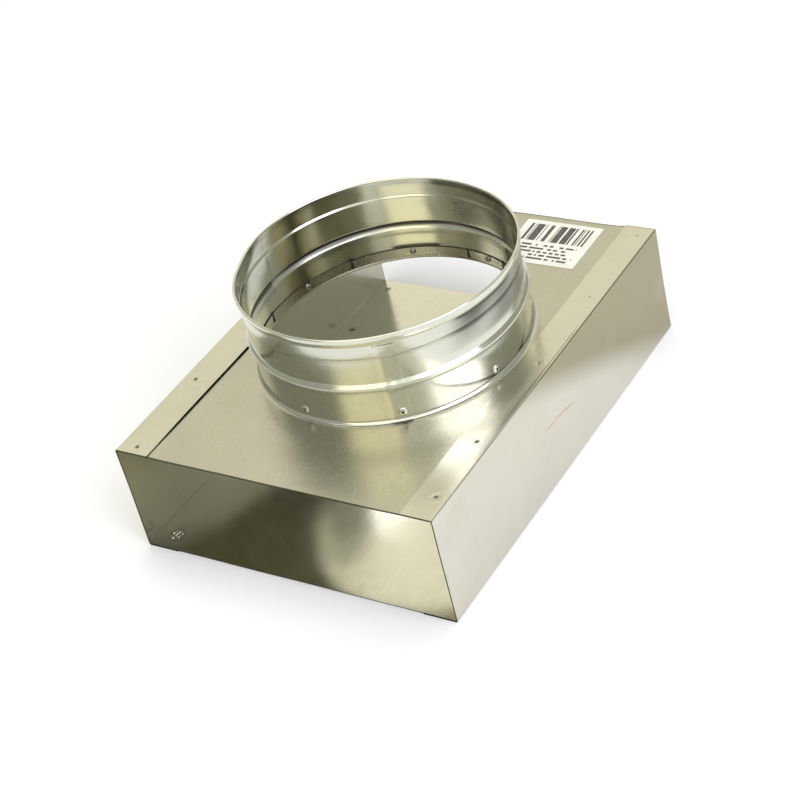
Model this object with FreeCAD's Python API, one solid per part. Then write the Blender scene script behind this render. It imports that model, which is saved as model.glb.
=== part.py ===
import FreeCAD, Part
import math
import os

from FreeCAD import Vector as V

os.makedirs("parts", exist_ok=True)

# ---------------------------------------------------------------------------
# Driving dimensions, in millimetres.
# X is the width of the rectangular duct, Y its length along the air path,
# Z points up along the round collar. The origin is at the bottom, in the
# middle of the rectangular sleeve.
# ---------------------------------------------------------------------------
WIDTH = 257.0            # over the two side walls
LENGTH = 335.0           # front opening to back opening
HEIGHT = 87.8            # over the flanges
T = 0.55                 # sheet thickness
BEND_IN = 0.6            # inside bend radius of the side channels
FLANGE_TOP_LEFT = 27.4   # width of the left channel's top flange
FLANGE_TOP_RIGHT = 24.0  # width of the right channel's top flange
FLANGE_BOTTOM = 26.0     # width of both bottom flanges
WELD_LINE = 10.3         # usual inset of the spot welds from the outer side face
PLATE_SETBACK = 0.3      # free edges of the two plates, behind the channel ends

# spring of the top flanges' free edges above the plate
LIFT_LEFT = 0.40
LIFT_RIGHT = 0.25

# spot welds of each row: inset from the outer side face, position along Y
WELDS_TOP_LEFT = ((14.1, -159.8), (10.3, -82.2), (10.3, -2.0), (10.3, 80.0), (10.3, 158.0))
WELDS_TOP_RIGHT = ((9.2, -145.4), (10.3, -88.2), (10.3, -0.9), (10.3, 78.8), (10.3, 157.6))
WELDS_BOTTOM_LEFT = ((15.1, -153.7), (10.3, -80.0), (10.3, 6.0), (10.3, 99.4), (10.3, 155.9))
WELDS_BOTTOM_RIGHT = ((10.3, -150.0), (10.3, -78.0), (10.3, 2.0), (10.3, 84.0), (10.3, 156.0))
WELD_PIT_R = 1.5         # mouth radius of a weld mark
WELD_PIT_DEPTH = 0.30
WELD_BUMP_H = 0.28       # the same mark on the inner face of the plate

# round collar
CX, CY = 2.5, 0.4        # its axis
R_WALL = 98.675          # middle of the sheet in the plain wall
R_ABOVE = 99.42          # the same above the step
R_LIP = 101.10           # the same in the lip's outer leg
FOOT_R = 3.695           # flare of the foot
FOOT_END = (100.537, 0.787)
BEAD_LOW, BEAD_MID, BEAD_HIGH = 27.2, 30.55, 33.9
R_BEAD = 101.9           # corner of the bead before rounding
STEP_LOW, STEP_HIGH = 54.4, 57.2
LIP_TOP = 72.2
LIP_LEG_END = 65.9
SEAM_FROM, SEAM_TO = -59.0, -52.5   # lap seam, degrees round the axis
SEAM_TOP = 64.6          # the lap's outer layer stops below the lip

# neck of the top plate
NECK_BEND = 4.0          # bend radius, on the plate's upper face
NECK_OUT = 98.37         # outer radius of the neck
NECK_H = 11.0            # height of the neck above the plate
NOTCHES = (-125.0, -76.0, -34.0, 14.0, 64.5, 85.5, 139.5, 186.5)
NOTCH_WIDE, NOTCH_NARROW = 3.2, 1.5

# blind rivets round the collar's foot
RIVETS = (-97.6, -55.6, -13.3, 33.0, 74.5, 112.0, 162.0, 212.0)
RIVET_H = 7.8            # above the plate
RIVET_SHANK = 1.6
RIVET_HEAD = 3.2
RIVET_HEAD_H = 1.1
RIVET_HOLE = 0.85        # hole left by the drawn pin
RIVET_TAIL = 2.35
RIVET_TAIL_H = 1.3

# paper label on the top plate
LABEL_X = (26.6, 90.0)
LABEL_Y = (107.1, 160.2)
LABEL_T = 0.12
LABEL_CORNER = 1.5

Z_PLATE = HEIGHT - T             # upper face of the top plate
R_OUT = BEND_IN + T


# ---------------------------------------------------------------------------
# helpers
# ---------------------------------------------------------------------------
def seg(a, b):
    return Part.LineSegment(a, b).toShape()


def arc3(a, m, b):
    return Part.Arc(a, m, b).toShape()


def strip(points, fillets, low, high):
    """Section of bent sheet in the XZ plane.

    points are the corners of a line in (r, h), fillets the radius at each
    inner corner, low and high the offsets of the sheet's two faces from it,
    positive to the right of the direction of travel."""
    P = [(float(a), float(b)) for a, b in points]
    n = len(P)
    d = []
    for i in range(n - 1):
        x, y = P[i + 1][0] - P[i][0], P[i + 1][1] - P[i][1]
        m = math.hypot(x, y)
        d.append((x / m, y / m))

    def side(off):
        right = [(dy, -dx) for dx, dy in d]
        pts = [("p", (P[0][0] + right[0][0] * off, P[0][1] + right[0][1] * off))]
        for i in range(1, n - 1):
            a, b = d[i - 1], d[i]
            cross = a[0] * b[1] - a[1] * b[0]
            turn = math.atan2(cross, a[0] * b[0] + a[1] * b[1])
            r = fillets[i - 1]
            t = r * math.tan(abs(turn) / 2)
            s = 1.0 if turn > 0 else -1.0          # left turn: centre on the left
            t1 = (P[i][0] - a[0] * t, P[i][1] - a[1] * t)
            t2 = (P[i][0] + b[0] * t, P[i][1] + b[1] * t)
            left = (-a[1], a[0])
            c = (t1[0] + left[0] * s * r, t1[1] + left[1] * s * r)
            rr = r + s * off                       # the right side is farther on a left turn
            m = (P[i][0] - c[0], P[i][1] - c[1])
            mm = math.hypot(*m)
            q1 = (t1[0] + right[i - 1][0] * off, t1[1] + right[i - 1][1] * off)
            q2 = (t2[0] + right[i][0] * off, t2[1] + right[i][1] * off)
            mid = (c[0] + m[0] / mm * rr, c[1] + m[1] / mm * rr)
            pts.append(("a", q1, mid, q2))
        pts.append(("p", (P[-1][0] + right[-1][0] * off, P[-1][1] + right[-1][1] * off)))
        return pts

    def edges(pts):
        out, cur = [], None
        for item in pts:
            first = item[1]
            p = V(first[0], 0, first[1])
            if cur is not None and (p - cur).Length > 1e-6:
                out.append(seg(cur, p))
            cur = p
            if item[0] == "a":
                m, q = V(item[2][0], 0, item[2][1]), V(item[3][0], 0, item[3][1])
                out.append(arc3(p, m, q))
                cur = q
        return out, V(pts[0][1][0], 0, pts[0][1][1]), cur

    a, a0, a1 = edges(side(low))
    b, b0, b1 = edges(side(high))
    wire = Part.Wire(Part.__sortEdges__(a + b + [seg(a0, b0), seg(a1, b1)]))
    return Part.Face(wire)


def revolve(face, angle=360.0, start=0.0):
    """Turns a section given in (r, h) round the collar's axis, above the plate."""
    f = face.copy()
    if start:
        f.rotate(V(0, 0, 0), V(0, 0, 1), start)
    s = f.revolve(V(0, 0, 0), V(0, 0, 1), angle)
    s.translate(V(CX, CY, Z_PLATE))
    return s


def one(shape):
    """The single solid of a shape, cleaned of seams between equal faces."""
    s = shape.removeSplitter()
    solids = s.Solids
    assert len(solids) == 1, len(solids)
    return solids[0]


def cap(x, y, z, mouth, depth, up):
    """A shallow spherical cap: its flat lies at z, its crown is depth away."""
    r = (mouth ** 2 + depth ** 2) / (2 * depth)
    c = V(x, y, z + (depth - r if up else r - depth))
    ball = Part.makeSphere(r, c)
    box = Part.makeBox(2 * r, 2 * r, 2 * r, V(x - r, y - r, z if up else z - 2 * r))
    return ball.common(box)


def pit(shape, x, y, z, mouth, depth, up):
    """Cuts a shallow round pit into a face at z, upwards or downwards."""
    r = (mouth ** 2 + depth ** 2) / (2 * depth)
    return shape.cut(Part.makeSphere(r, V(x, y, z + (depth - r if up else r - depth))))


def check(name, shape):
    assert shape.isValid(), name
    b = shape.BoundBox
    print(
        "%-20s solids %d  volume %.1f mm3  box %.2f %.2f %.2f .. %.2f %.2f %.2f"
        % (name, len(shape.Solids), shape.Volume, b.XMin, b.YMin, b.ZMin, b.XMax, b.YMax, b.ZMax)
    )


def export(name, shape):
    check(name, shape)
    shape.exportStep("parts/%s.step" % name)


# ---------------------------------------------------------------------------
# side channels: one sheet each, bent to a C, flanges turned towards the middle
# ---------------------------------------------------------------------------
def channel(flange_top, lift, top_welds, bottom_welds):
    """The left channel. The flange's free part springs up a little beyond the welds."""
    x0 = -WIDTH / 2
    kink = x0 + WELD_LINE + 5.0
    mid = [
        (x0 + FLANGE_BOTTOM, T / 2),
        (x0 + T / 2, T / 2),
        (x0 + T / 2, HEIGHT - T / 2),
        (kink, HEIGHT - T / 2),
        (x0 + flange_top, HEIGHT - T / 2 + lift),
    ]
    rb = BEND_IN + T / 2
    face = strip(mid, [rb, rb, 30.0], -T / 2, T / 2)
    face.translate(V(0, -LENGTH / 2, 0))
    body = face.extrude(V(0, LENGTH, 0))
    for inset, y in top_welds:
        body = pit(body, x0 + inset, y, HEIGHT, WELD_PIT_R, WELD_PIT_DEPTH, False)
    for inset, y in bottom_welds:
        body = pit(body, x0 + inset, y, 0.0, WELD_PIT_R, WELD_PIT_DEPTH, True)
    return body.Solids[0] if len(body.Solids) == 1 else one(body)


left = channel(FLANGE_TOP_LEFT, LIFT_LEFT, WELDS_TOP_LEFT, WELDS_BOTTOM_LEFT)
right = channel(FLANGE_TOP_RIGHT, LIFT_RIGHT, WELDS_TOP_RIGHT, WELDS_BOTTOM_RIGHT)
right = right.mirror(V(0, 0, 0), V(1, 0, 0))

# ---------------------------------------------------------------------------
# flat plates between the channels
# ---------------------------------------------------------------------------
HALF_PLATE = WIDTH / 2 - R_OUT - 0.05
Y_PLATE = LENGTH / 2 - PLATE_SETBACK


def plate(z):
    return Part.makeBox(2 * HALF_PLATE, 2 * Y_PLATE, T, V(-HALF_PLATE, -Y_PLATE, z))


bottom = plate(T)
for side, rows in ((-1, WELDS_BOTTOM_LEFT), (1, WELDS_BOTTOM_RIGHT)):
    for inset, y in rows:
        x = side * (WIDTH / 2 - inset)
        bottom = bottom.fuse(cap(x, y, 2 * T, WELD_PIT_R + 0.15, WELD_BUMP_H, True))
bottom = one(bottom)

# the top plate's hole has its edge turned up into a neck
R_HOLE = NECK_OUT + NECK_BEND
top = plate(HEIGHT - 2 * T)
top = top.cut(Part.makeCylinder(R_HOLE + 0.5, 10, V(CX, CY, Z_PLATE - 5)))
neck_mid = NECK_OUT - T / 2
neck = strip(
    [(R_HOLE + 0.5, -T / 2), (neck_mid, -T / 2), (neck_mid, NECK_H)],
    [NECK_BEND + T / 2],
    -T / 2,
    T / 2,
)
top = top.fuse(revolve(neck))
for side, rows in ((-1, WELDS_TOP_LEFT), (1, WELDS_TOP_RIGHT)):
    for inset, y in rows:
        x = side * (WIDTH / 2 - inset)
        top = top.fuse(cap(x, y, HEIGHT - 2 * T, WELD_PIT_R + 0.15, WELD_BUMP_H, False))
top = one(top)


def radial(shape, angle):
    """Places a shape made along +X at the collar's axis, turned to an angle."""
    s = shape.copy()
    s.rotate(V(0, 0, 0), V(0, 0, 1), angle)
    s.translate(V(CX, CY, Z_PLATE))
    return s


# notches between the tabs of the neck, wider at the root, with a rounded root
nw, nn = NOTCH_WIDE / 2, NOTCH_NARROW / 2
root = 3.4
notch_wire = Part.Wire(
    [
        arc3(V(90, -nw, root), V(90, 0, root - nw), V(90, nw, root)),
        seg(V(90, nw, root), V(90, nn, NECK_H + 1)),
        seg(V(90, nn, NECK_H + 1), V(90, -nn, NECK_H + 1)),
        seg(V(90, -nn, NECK_H + 1), V(90, -nw, root)),
    ]
)
notch = Part.Face(notch_wire).extrude(V(10.2, 0, 0))
for a in NOTCHES:
    top = top.cut(radial(notch, a))

# ---------------------------------------------------------------------------
# collar: rolled tube
# ---------------------------------------------------------------------------
collar_line = [
    FOOT_END,
    (R_WALL, 1.951),
    (R_WALL, BEAD_LOW),
    (R_BEAD, BEAD_MID),
    (R_WALL, BEAD_HIGH),
    (R_WALL, STEP_LOW),
    (R_ABOVE, STEP_HIGH),
    (R_ABOVE, LIP_TOP),
    (R_LIP, LIP_TOP),
    (R_LIP, LIP_LEG_END),
]
lip_r = (R_LIP - R_ABOVE) / 2 - 0.001
collar_fillets = [FOOT_R, 1.5, 2.2, 1.5, 0.8, 0.8, lip_r, lip_r]
collar = revolve(strip(collar_line, collar_fillets, -T / 2, T / 2))

# the lap's outer layer, standing on the wall
seam_line = collar_line[:7] + [(R_ABOVE, SEAM_TOP)]
seam = strip(seam_line, [FOOT_R, 1.5, 2.2, 1.5, 0.8, 0.8], 0.0, T / 2 + 0.45)
collar = collar.fuse(revolve(seam, SEAM_TO - SEAM_FROM, SEAM_FROM))

# holes for the rivets through the collar and the neck
hole = Part.makeCylinder(RIVET_SHANK, 14, V(92, 0, RIVET_H), V(1, 0, 0))
for a in RIVETS:
    collar = collar.cut(radial(hole, a))
    top = top.cut(radial(hole, a))
collar = one(collar)
top = one(top)

# ---------------------------------------------------------------------------
# blind rivets: domed head outside with the drawn pin's hole, low tail inside
# ---------------------------------------------------------------------------
x_tail = NECK_OUT - T - 0.04          # face the tail bears on


def rivet(x_head):
    """One rivet along +X, its head's flat at x_head."""
    s, h, t = RIVET_SHANK, RIVET_HEAD, RIVET_TAIL
    top_x = x_head + RIVET_HEAD_H
    pts = [
        ("l", (x_tail - RIVET_TAIL_H, 0.0)),
        ("l", (x_tail - RIVET_TAIL_H, 1.2)),
        ("a", (x_tail - RIVET_TAIL_H * 0.72, 2.05), (x_tail - 0.25, t)),
        ("l", (x_tail, t)),
        ("l", (x_tail, s)),
        ("l", (x_head, s)),
        ("l", (x_head, h)),
        ("l", (x_head + 0.15, h)),
        ("a", (x_head + 0.78, 2.3), (top_x, RIVET_HOLE + 0.25)),
        ("l", (top_x - 0.12, RIVET_HOLE)),
        ("l", (top_x - 1.7, RIVET_HOLE)),
        ("l", (top_x - 1.7, 0.0)),
    ]
    edges, cur = [], None
    for p in pts:
        if p[0] == "l":
            q = V(p[1][0], 0, p[1][1])
            if cur is not None:
                edges.append(seg(cur, q))
            cur = q
        else:
            m, q = V(p[1][0], 0, p[1][1]), V(p[2][0], 0, p[2][1])
            edges.append(arc3(cur, m, q))
            cur = q
    edges.append(seg(cur, V(x_tail - RIVET_TAIL_H, 0, 0)))
    face = Part.Face(Part.Wire(edges))
    body = face.revolve(V(0, 0, 0), V(1, 0, 0), 360)
    body.translate(V(0, 0, RIVET_H))
    return body


rivets = []
for a in RIVETS:
    on_seam = SEAM_FROM < a < SEAM_TO
    rivets.append(radial(rivet(R_WALL + T / 2 + (0.45 if on_seam else 0.0)), a))
rivets = Part.makeCompound([r.Solids[0] if r.Solids else Part.makeSolid(r) for r in rivets])

# ---------------------------------------------------------------------------
# paper label
# ---------------------------------------------------------------------------
label = Part.makeBox(
    LABEL_X[1] - LABEL_X[0], LABEL_Y[1] - LABEL_Y[0], LABEL_T, V(LABEL_X[0], LABEL_Y[0], Z_PLATE)
)
upright = [e for e in label.Edges if abs(e.BoundBox.ZLength - LABEL_T) < 1e-6]
label = label.makeFillet(LABEL_CORNER, upright)

# ---------------------------------------------------------------------------
export("side_channel_left", left)
export("side_channel_right", right)
export("top_plate", top)
export("bottom_plate", bottom)
export("collar", collar)
export("collar_rivets", rivets)
export("label", label)
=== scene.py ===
import math

import bpy
import numpy as np
from mathutils import Matrix, Vector


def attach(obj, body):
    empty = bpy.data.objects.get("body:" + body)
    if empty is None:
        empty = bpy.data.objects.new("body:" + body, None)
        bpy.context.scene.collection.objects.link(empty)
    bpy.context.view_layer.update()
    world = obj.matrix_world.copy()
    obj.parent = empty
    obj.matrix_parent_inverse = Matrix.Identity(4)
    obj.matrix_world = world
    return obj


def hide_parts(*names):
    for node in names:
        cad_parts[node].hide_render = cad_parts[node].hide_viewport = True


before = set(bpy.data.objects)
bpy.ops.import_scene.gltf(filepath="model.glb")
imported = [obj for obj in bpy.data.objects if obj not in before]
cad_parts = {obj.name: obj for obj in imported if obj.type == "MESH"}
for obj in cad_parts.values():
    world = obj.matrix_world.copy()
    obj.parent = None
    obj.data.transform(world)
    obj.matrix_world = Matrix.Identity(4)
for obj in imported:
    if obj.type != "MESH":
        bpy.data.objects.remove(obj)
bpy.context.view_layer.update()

MM = 0.001

# --------------------------------------------------------------------------
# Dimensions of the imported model, in millimetres
# --------------------------------------------------------------------------
WIDTH, LENGTH, HEIGHT, T = 257.0, 335.0, 87.8, 0.55
BEND_OUT = 1.15
X0 = -WIDTH / 2
Y1 = LENGTH / 2
Z_PLATE = HEIGHT - T
# spot welds: inset from the outer side face, place along Y
WELDS = {
    "top_left": ((14.1, -159.8), (10.3, -82.2), (10.3, -2.0), (10.3, 80.0), (10.3, 158.0)),
    "top_right": ((9.2, -145.4), (10.3, -88.2), (10.3, -0.9), (10.3, 78.8), (10.3, 157.6)),
    "bottom_left": ((15.1, -153.7), (10.3, -80.0), (10.3, 6.0), (10.3, 99.4), (10.3, 155.9)),
    "bottom_right": ((10.3, -150.0), (10.3, -78.0), (10.3, 2.0), (10.3, 84.0), (10.3, 156.0)),
}
CX, CY = 2.5, 0.4
HALF_PLATE = 127.3
Y_PLATE = LENGTH / 2 - 0.3
SEAM = (-59.0, -52.5)
RIVETS = (-97.6, -55.6, -13.3, 33.0, 74.5, 112.0, 162.0, 212.0)
NOTCHES = (-125.0, -76.0, -34.0, 14.0, 64.5, 85.5, 139.5, 186.5)


# --------------------------------------------------------------------------
# Mesh helpers
# --------------------------------------------------------------------------
def waves(x, y, seed, size, count=12):
    """Smooth irregular heights, about -1 to 1, with swells near size across."""
    rng = np.random.default_rng(seed)
    out = 0.0
    for _ in range(count):
        a, p = rng.uniform(0, 2 * math.pi, 2)
        k = 2 * math.pi / (size * rng.uniform(0.7, 2.0))
        out = out + np.sin(k * (x * math.cos(a) + y * math.sin(a)) + p)
    return out / (1.5 * math.sqrt(count))


def ease(t):
    t = np.clip(t, 0.0, 1.0)
    return t * t * (3 - 2 * t)


def lines(lo, hi, step, around=(), reach=5.6, fine=0.4):
    """Grid positions from lo to hi, closer together around some places."""
    pts = list(np.linspace(lo, hi, max(2, int(round((hi - lo) / step)) + 1)))
    for c in around:
        for t in np.arange(-reach, reach + 1e-6, fine):
            if lo + 0.05 < c + t < hi - 0.05:
                pts.append(c + t)
    pts.sort()
    out = [pts[0]]
    for p in pts[1:]:
        if p - out[-1] > fine * 0.6:
            out.append(p)
    out[-1] = hi
    return np.array(out)


def build(name, verts, faces, marks=None, sharp=38.0, second=None):
    """A mesh object from points in millimetres; marks is one number per point, and
    second is the range of faces that take the object's second material."""
    verts = np.asarray(verts, float)
    used = np.unique(np.concatenate([np.ravel(f) for f in faces]))
    index = np.full(len(verts), -1)
    index[used] = np.arange(len(used))
    verts = verts[used] * MM
    polys = [tuple(int(v) for v in row) for f in faces for row in index[f]]
    tri_a, tri_b, tri_c = [], [], []
    for p in polys:
        for k in range(1, len(p) - 1):
            tri_a.append(p[0]), tri_b.append(p[k]), tri_c.append(p[k + 1])
    a, b, c = verts[tri_a], verts[tri_b], verts[tri_c]
    if (a * np.cross(b, c)).sum() < 0:
        polys = [p[::-1] for p in polys]
    me = bpy.data.meshes.new(name)
    me.from_pydata(verts.tolist(), [], polys)
    me.update()
    if second is not None:
        index = np.zeros(len(polys), np.int32)
        index[second[0] : second[1]] = 1
        me.polygons.foreach_set("material_index", index)
    me.shade_smooth()
    me.set_sharp_from_angle(angle=math.radians(sharp))
    if marks is not None:
        at = me.attributes.new("mark", "FLOAT", "POINT")
        at.data.foreach_set("value", np.asarray(marks, np.float32)[used])
    ob = bpy.data.objects.new(name, me)
    bpy.context.scene.collection.objects.link(ob)
    return ob


def sheet(name, outer, inner, keep=None, wrap=False, marks=None, extra=None, sharp=38.0):
    """A closed sheet between two grids of points, rows by columns.

    keep says which cells exist, wrap joins the last row to the first, marks are two
    grids of numbers, and extra is a list of further closed lumps (points, faces)."""
    nr, nc = outer.shape[:2]
    rows = nr if wrap else nr - 1
    k = np.ones((rows, nc - 1), bool) if keep is None else keep
    idx = np.arange(nr * nc).reshape(nr, nc)
    off = nr * nc
    faces = []

    def corner(i, j, di, dj):
        return idx[(i + di) % nr, j + dj]

    i, j = np.nonzero(k)
    a, b, c, d = corner(i, j, 0, 0), corner(i, j, 1, 0), corner(i, j, 1, 1), corner(i, j, 0, 1)
    faces.append(np.stack([a, b, c, d], 1))
    faces.append(np.stack([d, c, b, a], 1) + off)
    if wrap:
        before, after = np.roll(k, 1, 0), np.roll(k, -1, 0)
    else:
        before = np.vstack([np.zeros((1, nc - 1), bool), k[:-1]])
        after = np.vstack([k[1:], np.zeros((1, nc - 1), bool)])
    left = np.hstack([np.zeros((rows, 1), bool), k[:, :-1]])
    right = np.hstack([k[:, 1:], np.zeros((rows, 1), bool)])
    flat = sum(len(f) for f in faces)
    for gone, p, q in (
        (k & ~left, (0, 0), (1, 0)),
        (k & ~after, (1, 0), (1, 1)),
        (k & ~right, (1, 1), (0, 1)),
        (k & ~before, (0, 1), (0, 0)),
    ):
        i, j = np.nonzero(gone)
        if len(i):
            s, e = corner(i, j, *p), corner(i, j, *q)
            faces.append(np.stack([e, s, s + off, e + off], 1))
    second = (flat, sum(len(f) for f in faces))
    verts = np.concatenate([outer.reshape(-1, 3), inner.reshape(-1, 3)])
    m = None if marks is None else np.concatenate([marks[0].ravel(), marks[1].ravel()])
    for pts, fs in extra or ():
        base = len(verts)
        verts = np.concatenate([verts, pts])
        if m is not None:
            m = np.concatenate([m, np.zeros(len(pts))])
        faces += [np.asarray(f) + base for f in fs]
    return build(name, verts, faces, m, sharp, second)


def rounded(points, fillets, seg=8, step=3.0):
    """Samples of a line in (r, h) with rounded corners: r, h and its unit right-hand normal."""
    P = np.array(points, float)
    d = P[1:] - P[:-1]
    d /= np.linalg.norm(d, axis=1)[:, None]
    out = []

    def straight(a, b, direction):
        length = np.linalg.norm(b - a)
        n = np.array([direction[1], -direction[0]])
        for t in np.linspace(0, 1, max(1, int(round(length / step))) + 1):
            out.append((*(a + (b - a) * t), *n))

    at = P[0]
    for i in range(1, len(P) - 1):
        a, b = d[i - 1], d[i]
        turn = math.atan2(a[0] * b[1] - a[1] * b[0], a @ b)
        r = fillets[i - 1]
        t = r * math.tan(abs(turn) / 2)
        s = 1.0 if turn > 0 else -1.0
        t1 = P[i] - a * t
        straight(at, t1, a)
        c = t1 + np.array([-a[1], a[0]]) * s * r
        n = max(3, int(math.ceil(seg * abs(turn) / (math.pi / 2))) + 2)
        v = t1 - c
        for q in np.linspace(0, turn, n + 1)[1:]:
            w = np.array([v[0] * math.cos(q) - v[1] * math.sin(q), v[0] * math.sin(q) + v[1] * math.cos(q)])
            out.append((*(c + w), *(w / r * s)))
        at = P[i] + b * t
    straight(at, P[-1], d[-1])
    keep = [out[0]]
    for o in out[1:]:
        if math.hypot(o[0] - keep[-1][0], o[1] - keep[-1][1]) > 0.02:
            keep.append(o)
    return np.array(keep)


def around(section, angles, shift=0.0):
    """Points (r, h) + shift along the normal, turned to each angle about the collar's axis."""
    t = np.radians(angles)[:, None]
    r = section[None, :, 0] + section[None, :, 2] * shift
    h = section[None, :, 1] + section[None, :, 3] * shift
    return np.stack([CX + r * np.cos(t), CY + r * np.sin(t), Z_PLATE + h + 0 * t], -1)


FAINT = {(10.3, -0.9): 0.35, (10.3, 78.8): 0.4, (10.3, 157.6): 0.45, (10.3, 158.0): 0.7}


def weld_depth(u, v, spots, depth=0.32):
    """Dent of a row of spot welds, each (u, v), and how marked the sheet is."""
    dent, mark = 0.0 * u + 0.0 * v, 0.0 * u + 0.0 * v
    for n, (x, y) in enumerate(spots):
        d = np.hypot(u - x, v - y)
        a = np.arctan2(v - y, u - x)
        d = d * (1 + 0.10 * np.sin(2 * a + n) + 0.06 * np.sin(3 * a + 2.3 * n))
        dent = dent + depth * np.exp(-((d / 1.25) ** 3)) + 0.06 * np.exp(-((d / 3.6) ** 4))
        dent = dent - 0.03 * np.exp(-(((d - 4.6) / 0.8) ** 2))
        burn = FAINT.get((x, y), 1.0)
        mark = mark + burn * np.exp(-((d / 1.75) ** 3)) + 0.16 * np.exp(-(((d - 3.7) / 1.2) ** 2))
    return dent, np.clip(mark, 0, 1)


# --------------------------------------------------------------------------
# Side channels
# --------------------------------------------------------------------------
def channel(name, side, flange_top, lift, top_welds, bottom_welds, seed):
    """side is -1 for the left channel, +1 for the right one."""
    ys = lines(-Y1, Y1, 5.0, [w[1] for w in top_welds + bottom_welds], reach=5.6, fine=0.45)
    xw = sorted({X0 + w[0] for w in top_welds + bottom_welds})
    fine_x = dict(reach=5.6, fine=0.45)
    pts = []
    for x in lines(X0 + BEND_OUT, X0 + 26.0, 3.0, xw, **fine_x)[::-1]:
        pts.append((x, T / 2, 0.0, -1.0, 0))
    for q in np.linspace(-90, -180, 10)[1:-1]:
        n = (math.cos(math.radians(q)), math.sin(math.radians(q)))
        pts.append((X0 + BEND_OUT + 0.875 * n[0], BEND_OUT + 0.875 * n[1], *n, 1))
    for z in np.linspace(BEND_OUT, HEIGHT - BEND_OUT, 30):
        pts.append((X0 + T / 2, z, -1.0, 0.0, 2))
    for q in np.linspace(180, 90, 10)[1:-1]:
        n = (math.cos(math.radians(q)), math.sin(math.radians(q)))
        pts.append((X0 + BEND_OUT + 0.875 * n[0], HEIGHT - BEND_OUT + 0.875 * n[1], *n, 3))
    for x in lines(X0 + BEND_OUT, X0 + flange_top, 3.0, xw, **fine_x):
        pts.append((x, HEIGHT - T / 2, 0.0, 1.0, 4))
    S = np.array(pts)
    x, z, nx, nz, part = (S[None, :, c] for c in range(5))
    y = ys[:, None]
    x, z = x + 0 * y, z + 0 * y

    # the top flange springs up beyond the welds, except where an end weld holds it
    free = np.clip((x - (X0 + 15.3)) / (flange_top - 15.3), 0, 1)
    ends = 0.02 + 0.98 * ease((Y1 - 6.0 - np.abs(y)) / 40.0)
    rise = lift * ends * (1 + 0.18 * waves(y, 0 * y, seed + 9, 60.0)) * free ** 1.2
    z = z + np.where(part == 4, rise, 0.0)
    # flanges: a slow ripple, upwards only on top
    ripple = 0.055 * (1 + waves(x, y, seed, 34.0)) * ease((x - X0 - 1.2) / 6.0)
    z = z + np.where(part == 4, ripple, 0.0)
    # web: soft inward oil-canning
    window = np.sin(np.pi * np.clip(z / HEIGHT, 0, 1)) ** 0.8
    pan = (0.24 * (1 + waves(y, z, seed + 3, 95.0)) + 0.04 * (1 + waves(y, z, seed + 4, 26.0))) * window
    x = x + np.where(part == 2, np.maximum(pan, 0.0), 0.0)

    dent_t, mark_t = weld_depth(x - X0, y + 0 * x, top_welds)
    dent_b, mark_b = weld_depth(x - X0, y + 0 * x, bottom_welds)
    dent_b = np.maximum(dent_b, 0.0)
    dent = np.where(part == 4, dent_t, np.where(part == 0, dent_b, 0.0))
    mark = np.where(part == 4, mark_t, np.where(part == 0, mark_b, 0.0))
    nx, nz = nx + 0 * y, nz + 0 * y
    yy = y + 0 * x
    out = np.stack([x + nx * (T / 2 - dent), yy, z + nz * (T / 2 - dent)], -1)
    inn = np.stack([x - nx * T / 2, yy, z - nz * T / 2], -1)
    if side > 0:
        out[..., 0] *= -1
        inn[..., 0] *= -1
    return sheet(name, out, inn, marks=(mark, 0 * mark))


left = channel("side_wall_left", -1, 27.4, 0.72, WELDS["top_left"], WELDS["bottom_left"], 11)
right = channel("side_wall_right", 1, 24.0, 0.25, WELDS["top_right"], WELDS["bottom_right"], 23)


# --------------------------------------------------------------------------
# Plates
# --------------------------------------------------------------------------
def lump(x, y, z, r, h, up):
    """A low closed dome standing on z, for the back of a spot weld."""
    pts, faces = [], []
    n, rings = 20, 5
    s = 1.0 if up else -1.0
    for k in range(rings):
        f = k / rings
        rr, hh = r * math.cos(f * math.pi / 2), h * math.sin(f * math.pi / 2)
        for m in range(n):
            a = 2 * math.pi * m / n
            pts.append((x + rr * math.cos(a), y + rr * math.sin(a), z + s * hh))
    for m in range(n):
        a = 2 * math.pi * m / n
        pts.append((x + r * math.cos(a), y + r * math.sin(a), z - s * 0.12))
    pts.append((x, y, z + s * h))
    pts.append((x, y, z - s * 0.12))
    top, low, under = len(pts) - 2, len(pts) - 1, rings * n
    quads, tris = [], []
    for m in range(n):
        e = (m + 1) % n
        for k in range(rings - 1):
            quads.append((k * n + m, k * n + e, (k + 1) * n + e, (k + 1) * n + m))
        quads.append((under + m, under + e, e, m))
        tris.append(((rings - 1) * n + m, (rings - 1) * n + e, top))
        tris.append((under + e, under + m, low))
    if not up:
        quads = [q[::-1] for q in quads]
        tris = [t[::-1] for t in tris]
    return np.array(pts), [np.array(quads), np.array(tris)]


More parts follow.
